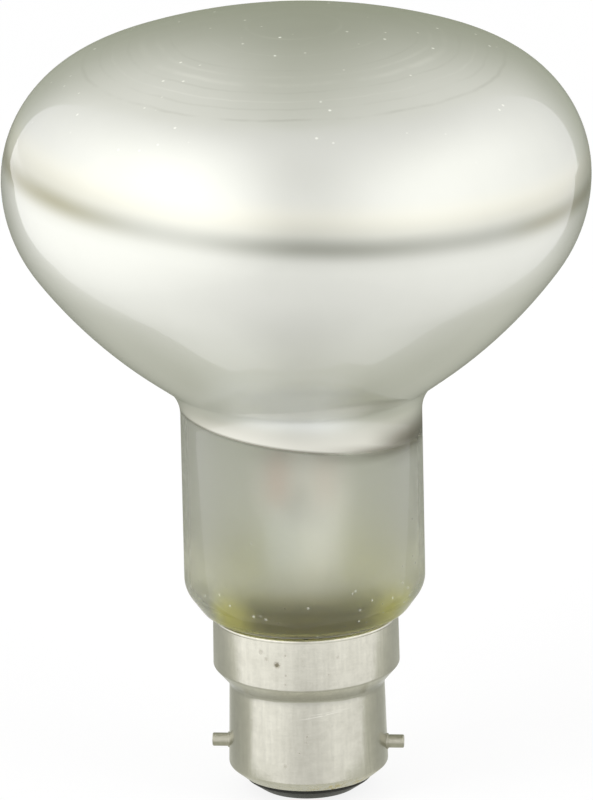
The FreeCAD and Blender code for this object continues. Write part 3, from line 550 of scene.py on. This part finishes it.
def coated_glass():
    """Outside of the envelope: the satin mirrored head above the film's edge, clear glass below."""
    material, sheet = new_material("coated_glass")
    place = sheet.place()
    x, y, z = sheet.axes(place)
    across = across_picture(x, y)
    above, coated = film_cover(sheet, across, z)
    cloud = sheet.noise(place, 0.06, 4.0)
    satin = satin_mirror(sheet, place, across, z, cloud)
    satin, line = film_end(sheet, across, above, z, satin)
    arcs = blowing_arcs(sheet, place, x, y, z)
    satin = sheet.mix(sheet.most(arcs, 0.0) * 0.5, satin, (0.93, 0.93, 0.88, 1))
    satin = sheet.mix(sheet.most(arcs * -1.0, 0.0) * 0.45, satin, (0.40, 0.40, 0.34, 1))
    dust = sheet.specks(place, 2.4, 0.3, 0.5) * sheet.step(z, 97.0, 106.0)
    satin = sheet.mix(dust * 0.9, satin, (0.95, 0.95, 0.90, 1))
    head = sheet.principled(Base_Color=satin, Metallic=1.0, Roughness=0.42 + dust * 0.3,
                            Normal=sheet.bump(arcs * 0.5 + cloud, 0.05, 0.3), Coat_IOR=1.5,
                            Coat_Weight=1 - sheet.most(line, dust) * 0.9, Coat_Roughness=0.0)
    sheet.surface(sheet.blend(coated, neck_glass(sheet, place, across, z, line), head))
    return material


def frosted_inside():
    """Inside of the envelope: etched glass, and the back of the mirror above the film's edge."""
    material, sheet = new_material("frosted_inside")
    place = sheet.place()
    x, y, z = sheet.axes(place)
    across = across_picture(x, y)
    _, coated = film_cover(sheet, across, z)
    frost = sheet.mix(sheet.noise(place, 0.4), (0.98, 0.985, 0.93, 1), (1.0, 1.0, 0.955, 1))
    etched = sheet.principled(Base_Color=frost, Roughness=0.5, IOR=1.5, Transmission_Weight=1.0)

    # Painted light: the cement's yellow-green shines up into the foot at both sides, least in the middle
    off_middle = abs(across - 0.9)
    beside = sheet.band(off_middle, 6.5, 11.5, 12.4, 14.2)
    faint_shine = sheet.band(z, 30.5, 34.5, 35.0, 40.0) * 0.27
    shine = sheet.most(sheet.step(z, 37.5, 28.0) * beside * 0.78, faint_shine)
    glow = sheet.mix(sheet.step(z, 35.0, 30.0), (0.80, 0.80, 0.62, 1), (0.60, 0.59, 0.22, 1))
    etched = sheet.blend(shine, etched, sheet.principled(Base_Color=glow, Roughness=0.8))

    # Painted shade between the two sides: a dark brown crescent just above the cement, on the camera side
    crescent = sheet.band(z, 26.8, 28.0, 28.8, 31.4) * sheet.step(off_middle, 10.2, 5.5)
    crescent = crescent * sheet.step(towards_camera(x, y), 0.0, 4.0) * 0.55
    crescent_shade = sheet.principled(Base_Color=(0.09, 0.08, 0.03, 1), Roughness=0.6)
    etched = sheet.blend(crescent, etched, crescent_shade)

    mirror = sheet.principled(Base_Color=frost, Metallic=1.0, Roughness=0.15)
    sheet.surface(sheet.blend(coated, etched, mirror))
    return material


def cap_metal_tone(sheet, x, y, z, across, grain):
    """Colour of the bare cap: blotched, with painted shade where it turns away and in the step's crease.
    """
    tone = sheet.mix(grain, (0.745, 0.73, 0.64, 1), (0.60, 0.585, 0.505, 1))
    # Painted shade at both flanks, where the metal turns away
    turned_away = abs(across) / off_axis(sheet, x, y)
    tone = sheet.mix(sheet.step(turned_away, 0.72, 0.94) * 0.54, tone, (0.36, 0.36, 0.32, 1))
    # Painted shade in the step's crease and in a line below the skirt
    crease_shade = sheet.ridge(z - 16.9, 1.7) * 0.42 + sheet.ridge(z - 18.55, 0.3) * 0.2
    return sheet.mix(crease_shade, tone, (0.30, 0.305, 0.28, 1))


def cap_pits(sheet, place):
    """Small pits all over the cap, and its own dark marks, with ragged edges."""
    marks = sheet.specks(place, 2.0, 0.14, 0.3) * 0.5
    for *spot, radius, darkness in CAP_MARKS:
        marks = sheet.most(marks, sheet.spot(place, aside(*spot), radius) * darkness)
    return marks * sheet.step(sheet.noise(place, 2.4, 3.0), 0.25, 0.5)


def cap_scratches(sheet, across, y, z, drawn):
    """Two long, slightly slanting scratches on the front of the shell."""
    first = sheet.ridge(z - 13.9 - across * 0.16, 0.1) * sheet.ridge(across - 1.8, 5.5)
    second = sheet.ridge(z - 14.3 - across * 0.11, 0.07) * sheet.ridge(across - 2.6, 4.0)
    return sheet.most(first, second * 0.7) * sheet.step(y, 0.0, -4.0) * sheet.step(drawn, 0.3, 0.5)


def cap_finish():
    """Satin drawn aluminium: turning lines, upright drawing streaks, painted shade at the flanks, pits,
    scratches and flux.
    """
    material, sheet = new_material("cap_aluminium")
    place = sheet.place()
    x, y, z = sheet.axes(place)
    across = across_picture(x, y)
    turning = sheet.noise(sheet.stretched(place, (0.5, 0.5, 8.0)), 1.0, 4.0, 0.7)
    drawn = sheet.noise(sheet.stretched(place, (1.6, 1.6, 0.12)), 1.0, 3.0, 0.6)
    cloud = sheet.noise(place, 0.6, 5.0, 0.65)
    grain = sheet.step(cloud, 0.34, 0.66) * 0.4 + sheet.step(drawn, 0.3, 0.7) * 0.35
    grain = grain + sheet.step(turning, 0.3, 0.7) * 0.25
    tone = cap_metal_tone(sheet, x, y, z, across, grain)
    marks = cap_pits(sheet, place)
    tone = sheet.mix(marks * 0.9, tone, (0.13, 0.11, 0.06, 1))
    scratches = cap_scratches(sheet, across, y, z, drawn)
    tone = sheet.mix(scratches * 0.42, tone, (0.93, 0.92, 0.86, 1))
    flux = sheet.step(sheet.noise(place, 1.5, 4.0), 0.45, 0.62) * sheet.step(z, 4.6, 3.4)
    flux = flux * (0.25 + sheet.step(across, -2.0, 3.0) * 0.65)
    tone = sheet.mix(flux, tone, (0.46, 0.40, 0.16, 1))
    dull_part = sheet.most(marks, flux)
    relief = sheet.bump(turning * 0.5 + drawn * 0.4 + cloud * 0.6 + scratches - marks, 0.04, 0.4)
    sheet.surface(sheet.principled(Base_Color=tone, Metallic=1 - dull_part * 0.7, Normal=relief,
                                   Roughness=0.16 + cloud * 0.12 + dull_part * 0.3))
    return material


def stem_glass():
    """Drawn glass of the stem, whitish as painted light for its shine, darker on the left and dark brown
    at the foot as painted shade; copper shows in its pinch.
    """
    material, sheet = new_material("stem_glass")
    place = sheet.place()
    x, y, z = sheet.axes(place)
    streak = sheet.noise(sheet.stretched(place, (1.2, 1.2, 0.1)), 1.0)
    # Whitish tone: painted light standing for the stem glass's shine
    tone = sheet.mix(streak, (1.0, 1.0, 0.95, 1), (0.95, 0.95, 0.90, 1))
    # Painted shade on the left half
    tone = sheet.mix(sheet.step(across_picture(x, y), 2.2, -3.6) * 0.75, tone, (0.62, 0.65, 0.61, 1))
    copper = sheet.ridge(abs(x) - COPPER_SPACING / 2, 1.7) * sheet.step(z, 41.5, 44.0)
    copper = copper * (0.45 + sheet.step(x, 1.0, -1.0) * 0.5)
    tone = sheet.mix(copper, tone, (0.74, 0.42, 0.33, 1))
    # Painted shade at the foot, near the cap, in dark brown
    tone = sheet.mix(sheet.step(z, 35.0, 27.5) * 0.97, tone, (0.12, 0.10, 0.035, 1))
    sheet.surface(sheet.principled(Base_Color=tone, Roughness=0.08, IOR=1.5, Transmission_Weight=0.1,
                                   Normal=sheet.bump(streak, 0.05, 0.3)))
    return material


def grained(name, light, dark, scale, roughness, metallic=0.0, depth=0.05):
    """A plain finish with fine grain: cement, wire, brass, solder or pin metal."""
    material, sheet = new_material(name)
    grain = sheet.noise(sheet.place(), scale, 5.0, 0.6)
    sheet.surface(sheet.principled(Base_Color=sheet.mix(grain, light, dark), Metallic=metallic,
                                   Roughness=roughness + grain * 0.15,
                                   Normal=sheet.bump(grain, depth, 0.5)))
    return material


def black_glass():
    """Glossy black moulded glass with a faint mould haze."""
    material, sheet = new_material("black_glass")
    haze = sheet.noise(sheet.place(), 0.5, 3.0)
    tone = sheet.mix(haze, (0.022, 0.022, 0.02, 1), (0.045, 0.045, 0.04, 1))
    sheet.surface(sheet.principled(Base_Color=tone, Roughness=0.25 + haze * 0.2, IOR=1.5,
                                   Specular_IOR_Level=0.1, Normal=sheet.bump(haze, 0.08, 0.4)))
    return material


def dress(piece, *materials):
    """Put materials in a piece's slots."""
    piece.data.materials.clear()
    for material in materials:
        piece.data.materials.append(material)


def settle(piece, slot, *nodes):
    """Say what a piece rides on, and hide the nodes that it stands for. The slot is not used."""
    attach(piece, "root")
    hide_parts(*nodes)


# Glass envelope
walk = Outline(SEAL_RADIUS, SEAL_END, 90)
walk.line(SEAL_TOP - SEAL_END, pieces=3)
walk.bend(SEAL_FILLET, -FOOT_END_ANGLE, fineness=10)
walk.bend(FOOT_LOWER_RADIUS, FOOT_END_ANGLE - FOOT_ANGLE, fineness=5)
walk.line(FOOT_CONE_LENGTH, pieces=2)
walk.bend(FOOT_UPPER_RADIUS, FOOT_ANGLE, fineness=4)
walk.line(NECK_TOP - NECK_FOOT, pieces=8)
walk.bend(THROAT_RADIUS, -BOWL_END_ANGLE, fineness=4)
walk.line(BOWL_CONE_LENGTH, pieces=2)
walk.bend(BOWL_LOWER_RADIUS, BOWL_END_ANGLE - BOWL_JOINT_ANGLE, fineness=1.5)
walk.bend(BOWL_UPPER_RADIUS, BOWL_JOINT_ANGLE, fineness=3)
walk.bend(SHOULDER_RADIUS, DOME_ANGLE, fineness=3)
walk.bend(DOME_RADIUS, 90 - DOME_ANGLE, fineness=1.5)
pole_height = walk.points[-1][1]
envelope = turned("envelope", walk.points[:-1] + [(0, pole_height)])
dress(envelope, coated_glass(), frosted_inside())
walled(envelope, GLASS_WALL, inner_slot=1)
smoothed(envelope)
settle(envelope, "envelope_glass", "glass_envelope")

# Cap shell
crimp_edge = CRIMP_TOP - (SHELL_RADIUS - CRIMP_EDGE_RADIUS) * math.tan(math.radians(CRIMP_ANGLE))
cap_corners = [(SKIRT_TOP_RADIUS, RIM_HEIGHT - RIM_TUCK), (SKIRT_RADIUS, SKIRT_BOTTOM),
               (SHELL_TOP_RADIUS, SHELL_TOP), (SHELL_RADIUS, CRIMP_TOP), (CRIMP_EDGE_RADIUS, crimp_edge)]
cap = turned("cap", rounded(cap_corners, [SKIRT_CORNER, STEP_FILLET, CRIMP_CORNER], fineness=8))
walled(cap, CAP_SHEET)
smoothed(cap)
cap_metal = cap_finish()
dress(cap, cap_metal)

lip_ring = Outline(SKIRT_TOP_RADIUS + LIP_OVERHANG, RIM_HEIGHT + LIP_RISE - LIP_RADIUS, 90)
lip_ring.bend(LIP_RADIUS, 360, fineness=20)
lip = turned("cap_lip", lip_ring.points, closed=True)
smoothed(lip)
dress(lip, cap_metal)
settle(cap, "cap_aluminium", "cap_shell")
settle(lip, "cap_aluminium", "cap_shell")

# Bayonet pins: a staked shoulder, the stud and the dimple in its end
pin_metal = grained("pin_metal", (0.56, 0.545, 0.45, 1), (0.36, 0.35, 0.28, 1),
                    scale=1.5, roughness=0.25, metallic=1.0)
pin_outline = [(0, PIN_START),
               (PIN_SHOULDER_RADIUS, PIN_START),
               (PIN_SHOULDER_RADIUS, PIN_SHOULDER_END - PIN_SHOULDER_CHAMFER),
               (PIN_SHOULDER_RADIUS - PIN_SHOULDER_CHAMFER, PIN_SHOULDER_END),
               (PIN_RADIUS, PIN_SHOULDER_END),
               (PIN_RADIUS, PIN_END - PIN_CHAMFER),
               (PIN_RADIUS - PIN_CHAMFER, PIN_END),
               (DIMPLE_RADIUS, PIN_END),
               (0, PIN_END - DIMPLE_DEPTH)]
for side, name in ((-1, "left"), (1, "right")):
    pin = turned(f"pin_{name}", pin_outline, segments=48, along="X", side=side, centre=(0, 0, PIN_HEIGHT))
    smoothed(pin)
    dress(pin, pin_metal)
    settle(pin, "pin_metal", f"bayonet_pin_{name}")

# Insulator
insulator_corners = [(0, FACE_HEIGHT), (FACE_RADIUS, FACE_HEIGHT),
                     (INSULATOR_NECK_RADIUS, INSULATOR_NECK_BOTTOM),
                     (INSULATOR_NECK_RADIUS, INSULATOR_NECK_TOP),
                     (FLANGE_RADIUS, FLANGE_BOTTOM), (FLANGE_RADIUS, FLANGE_TOP),
                     (WELL_EDGE_RADIUS, FLANGE_TOP), (WELL_RADIUS, WELL_FLOOR), (0, WELL_FLOOR)]
insulator = turned("insulator_glass", rounded(insulator_corners, INSULATOR_ROUNDINGS, fineness=15),
                   segments=128)
smoothed(insulator)
dress(insulator, black_glass())
settle(insulator, "black_glass", "insulator")

# Finishes of the nodes that keep their own shape
stem = stem_glass()
nickel = grained("nickel_wire", (0.62, 0.61, 0.58, 1), (0.5, 0.49, 0.46, 1),
                 scale=3.0, roughness=0.25, metallic=1.0, depth=0.01)
copper = grained("copper_sheath", (0.74, 0.42, 0.32, 1), (0.60, 0.33, 0.25, 1),
                 scale=3.0, roughness=0.35, metallic=1.0, depth=0.01)
tungsten = grained("tungsten", (0.34, 0.34, 0.36, 1), (0.26, 0.26, 0.28, 1),
                   scale=4.0, roughness=0.4, metallic=1.0, depth=0.02)
cement = grained("cement", (0.76, 0.76, 0.38, 1), (0.60, 0.59, 0.26, 1), scale=1.2, roughness=0.8)
brass = grained("brass", (0.70, 0.58, 0.34, 1), (0.55, 0.45, 0.25, 1),
                scale=2.0, roughness=0.3, metallic=1.0, depth=0.02)
solder = grained("solder_metal", (0.62, 0.62, 0.60, 1), (0.42, 0.42, 0.41, 1),
                 scale=1.5, roughness=0.35, metallic=1.0)
finishes = {"stem_flare": stem, "exhaust_tube": stem, "support_rod": stem, "filament": tungsten,
            "basing_cement": cement}
for number in range(1, 5):
    finishes[f"support_wire_{number}"] = nickel
for side in ("left", "right"):
    finishes[f"inner_lead_{side}"] = nickel
    finishes[f"seal_wire_{side}"] = copper
    finishes[f"outer_lead_{side}"] = copper
for side in ("front", "back"):
    finishes[f"contact_plate_{side}"] = brass
    finishes[f"solder_{side}"] = solder
for node, material in finishes.items():
    dress(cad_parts[node], material)


# Studio: a pale floor, grey cards that only gloss and glass see, a white world and two soft lamps
def pale_floor():
    """White paper: it shows white, and keeps a little of the object's shadow."""
    material, sheet = new_material("pale_floor")
    place = sheet.place()
    x, y, _ = sheet.axes(place)
    across = across_picture(x, y)
    radius = off_axis(sheet, x, y)
    white = sheet.mix(sheet.noise(place, 0.02), (0.86, 0.86, 0.86, 1), (0.9, 0.9, 0.9, 1))
    paper = sheet.node("ShaderNodeBsdfDiffuse", inputs={"Color": white})

    # In the bulb's gloss the floor shows painted light to the sides, most on the left, and painted shadow
    # near and under the bulb
    sideways = across / radius
    close = sheet.step(radius, 110.0, 50.0)
    gloss_light_and_shadow = sheet.step(across, 0.0, -220.0) * 0.5 + sheet.step(across, 0.0, 220.0) * 0.22
    gloss_light_and_shadow = gloss_light_and_shadow + (sheet.step(abs(sideways), 0.1, 0.75) * 0.31 - 0.24) * close
    gloss_light_and_shadow = gloss_light_and_shadow - sheet.step(sideways, 0.3, 0.9) * close * 0.13
    gloss_light_and_shadow = gloss_light_and_shadow - sheet.step(radius, 20.0, 12.0) * 0.15 - sheet.step(radius, 9.5, 7.0) * 0.6
    shown = sheet.emission(sheet.light(1 + gloss_light_and_shadow * sheet.ray("Is Glossy Ray")))

    kinds = ("Is Camera Ray", "Is Glossy Ray", "Is Transmission Ray")
    seen = sheet.most(*[sheet.ray(kind) for kind in kinds])
    sheet.surface(sheet.blend(seen * 0.86, paper, shown))
    return material


def card(name, corners, paint):
    """A studio card that only gloss and glass see.

    Its paint gives the shade from across, near and up, and uses those of the three that it needs.
    """
    deselect()
    bpy.ops.mesh.primitive_circle_add(vertices=len(corners), radius=1, fill_type="NGON")
    made = bpy.context.object
    made.name = name
    for vertex, corner in zip(made.data.vertices, corners):
        vertex.co = corner * MM
    material, sheet = new_material(name)
    x, y, z = sheet.axes(sheet.place())
    sheet.surface(sheet.emission(paint(sheet, across_picture(x, y), towards_camera(x, y), z)))
    dress(made, material)
    made.visible_camera = False
    made.visible_diffuse = False
    made.visible_shadow = False


def paint_floor_card(sheet, across, near, up):
    """Darker far behind, pale in the middle and beside the bulb, with painted shadow in a strip at each
    flank.
    """
    aside_by = abs(across)
    shade = sheet.mix(sheet.step(near, -125.0, -10.0), (0.29, 0.30, 0.245, 1), (0.655, 0.66, 0.595, 1))
    middle = sheet.step(aside_by, 30.0, 14.0) * sheet.band(near, -110.0, -60.0, -26.0, -14.0)
    shade = sheet.mix(middle * 0.7, shade, (0.93, 0.94, 0.89, 1))
    # Painted shadow of the bulb in a strip at each flank
    flank_shadow = sheet.band(aside_by, 13.0, 24.0, 50.0, 80.0) * sheet.step(near, -52.0, -20.0)
    shade = sheet.mix(flank_shadow * 0.28, shade, (0.25, 0.26, 0.22, 1))
    beside = sheet.step(aside_by, 20.0, 120.0) * sheet.band(near, -220.0, -60.0, -40.0, 30.0)
    return sheet.mix(beside * 0.4, shade, (0.86, 0.87, 0.80, 1))


def paint_back_card(sheet, across, near, up):
    """Darkest low down in the middle, lighter up and to the sides, most on the left."""
    shade = sheet.mix(sheet.step(up, 400.0, 1350.0) * 0.65, (0.28, 0.30, 0.212, 1), (0.86, 0.87, 0.80, 1))
    sides = sheet.most(sheet.step(across, 10.0, -155.0), sheet.step(across, 0.0, 215.0))
    sides = sides * (sheet.step(up, 160.0, 540.0) * 0.9 + 0.1)
    return sheet.mix(sides, shade, (1.0, 1.0, 0.955, 1))


def facing(sheet, direction, towards):
    """How far a direction points towards another, from -1 to 1."""
    return sheet.node("ShaderNodeVectorMath", {"operation": "DOT_PRODUCT"},
                      {0: direction, 1: towards}, "Value")


def studio_world():
    """Plain white to the camera. Gloss and glass see two broad soft boxes beside the bulb in it."""
    made = bpy.data.worlds.new("studio")
    made.use_nodes = True
    sheet = Sheet(made.node_tree)
    way = sheet.node("ShaderNodeTexCoord", output="Generated")
    to_right = facing(sheet, way, aside(1, 0))
    to_camera = facing(sheet, way, aside(0, 1))
    to_zenith = facing(sheet, way, (0, 0, 1))

    # The left box is the stronger one, and both fade far aside and behind
    left_box = sheet.step(to_right, -0.02, -0.5) * 0.72
    right_box = sheet.step(to_right, 0.04, 0.75) * 0.52
    fading = 1 - sheet.step(abs(to_right), 0.72, 1.0) * 0.32
    boxes = (left_box + right_box) * sheet.step(to_camera, -1.0, 0.25) * fading

    # The gap between the boxes and the ceiling are a little dimmer than white
    gap = sheet.step(abs(to_right), 0.35, 0.0) * sheet.step(to_camera, 0.0, 0.5) * 0.17
    ceiling = sheet.step(to_zenith, 0.6, 1.0) * 0.1
    ceiling = ceiling + sheet.step(to_zenith, 0.4, 0.85) * sheet.step(to_camera, 0.3, -0.5) * 0.08

    bare = sheet.ray("Is Camera Ray")
    mirrored = sheet.most(sheet.ray("Is Glossy Ray"), sheet.ray("Is Transmission Ray"))
    lighting = mirrored * (1 + boxes - gap - ceiling) + (1 - mirrored) * (0.75 + boxes * 0.5)
    white = sheet.light(bare + (1 - bare) * lighting)
    sheet.surface(sheet.node("ShaderNodeBackground", inputs={"Color": white, "Strength": 1.0}))
    return made


def soft_lamp(name, azimuth, elevation, watts):
    """A round lamp that lights the bulb and doesn't show in its gloss."""
    deselect()
    towards = heading(azimuth, elevation)
    stand = towards * LAMP_DISTANCE + Vector((0, 0, VIEW_HEIGHT))
    bpy.ops.object.light_add(type="AREA", location=stand * MM)
    lamp = bpy.context.object
    lamp.name = name
    lamp.rotation_euler = towards.to_track_quat("Z", "Y").to_euler()
    lamp.data.shape = "DISK"
    lamp.data.size = LAMP_SIZE * MM
    lamp.data.energy = watts
    lamp.visible_glossy = False


def studio_camera():
    """The camera at the photograph's place, rolled a little about its own line of sight."""
    lens = bpy.data.cameras.new("camera")
    lens.lens = LENS
    lens.sensor_width = SENSOR_WIDTH
    lens.clip_end = VIEW_LIMIT * MM
    made = bpy.data.objects.new("camera", lens)
    bpy.context.scene.collection.objects.link(made)
    back = heading(0, VIEW_ELEVATION)
    level = back.to_track_quat("Z", "Y").to_matrix()
    rolled = level @ Matrix.Rotation(-math.radians(VIEW_ROLL), 3, "Z")
    stand = Vector((0, 0, VIEW_HEIGHT)) + back * VIEW_DISTANCE
    stand += level @ Vector((VIEW_ASIDE, VIEW_RAISE, 0))
    made.matrix_world = Matrix.Translation(stand * MM) @ rolled.to_4x4()
    return made


deselect()
bpy.ops.mesh.primitive_plane_add(size=FLOOR_SIZE * MM)
floor = bpy.context.object
floor.name = "floor"
dress(floor, pale_floor())

card("floor_card", [aside(across, near, FLOOR_CARD_LIFT) for across, near in FLOOR_CARD], paint_floor_card)
card("back_card", [aside(across, BACK_CARD_NEAR, up) for across, up in BACK_CARD], paint_back_card)
soft_lamp("lamp_left", azimuth=-57, elevation=46, watts=3.0)
soft_lamp("lamp_right", azimuth=57, elevation=43, watts=2.4)

bpy.context.scene.world = studio_world()
bpy.context.scene.camera = studio_camera()
bpy.context.scene.view_settings.view_transform = "Standard"
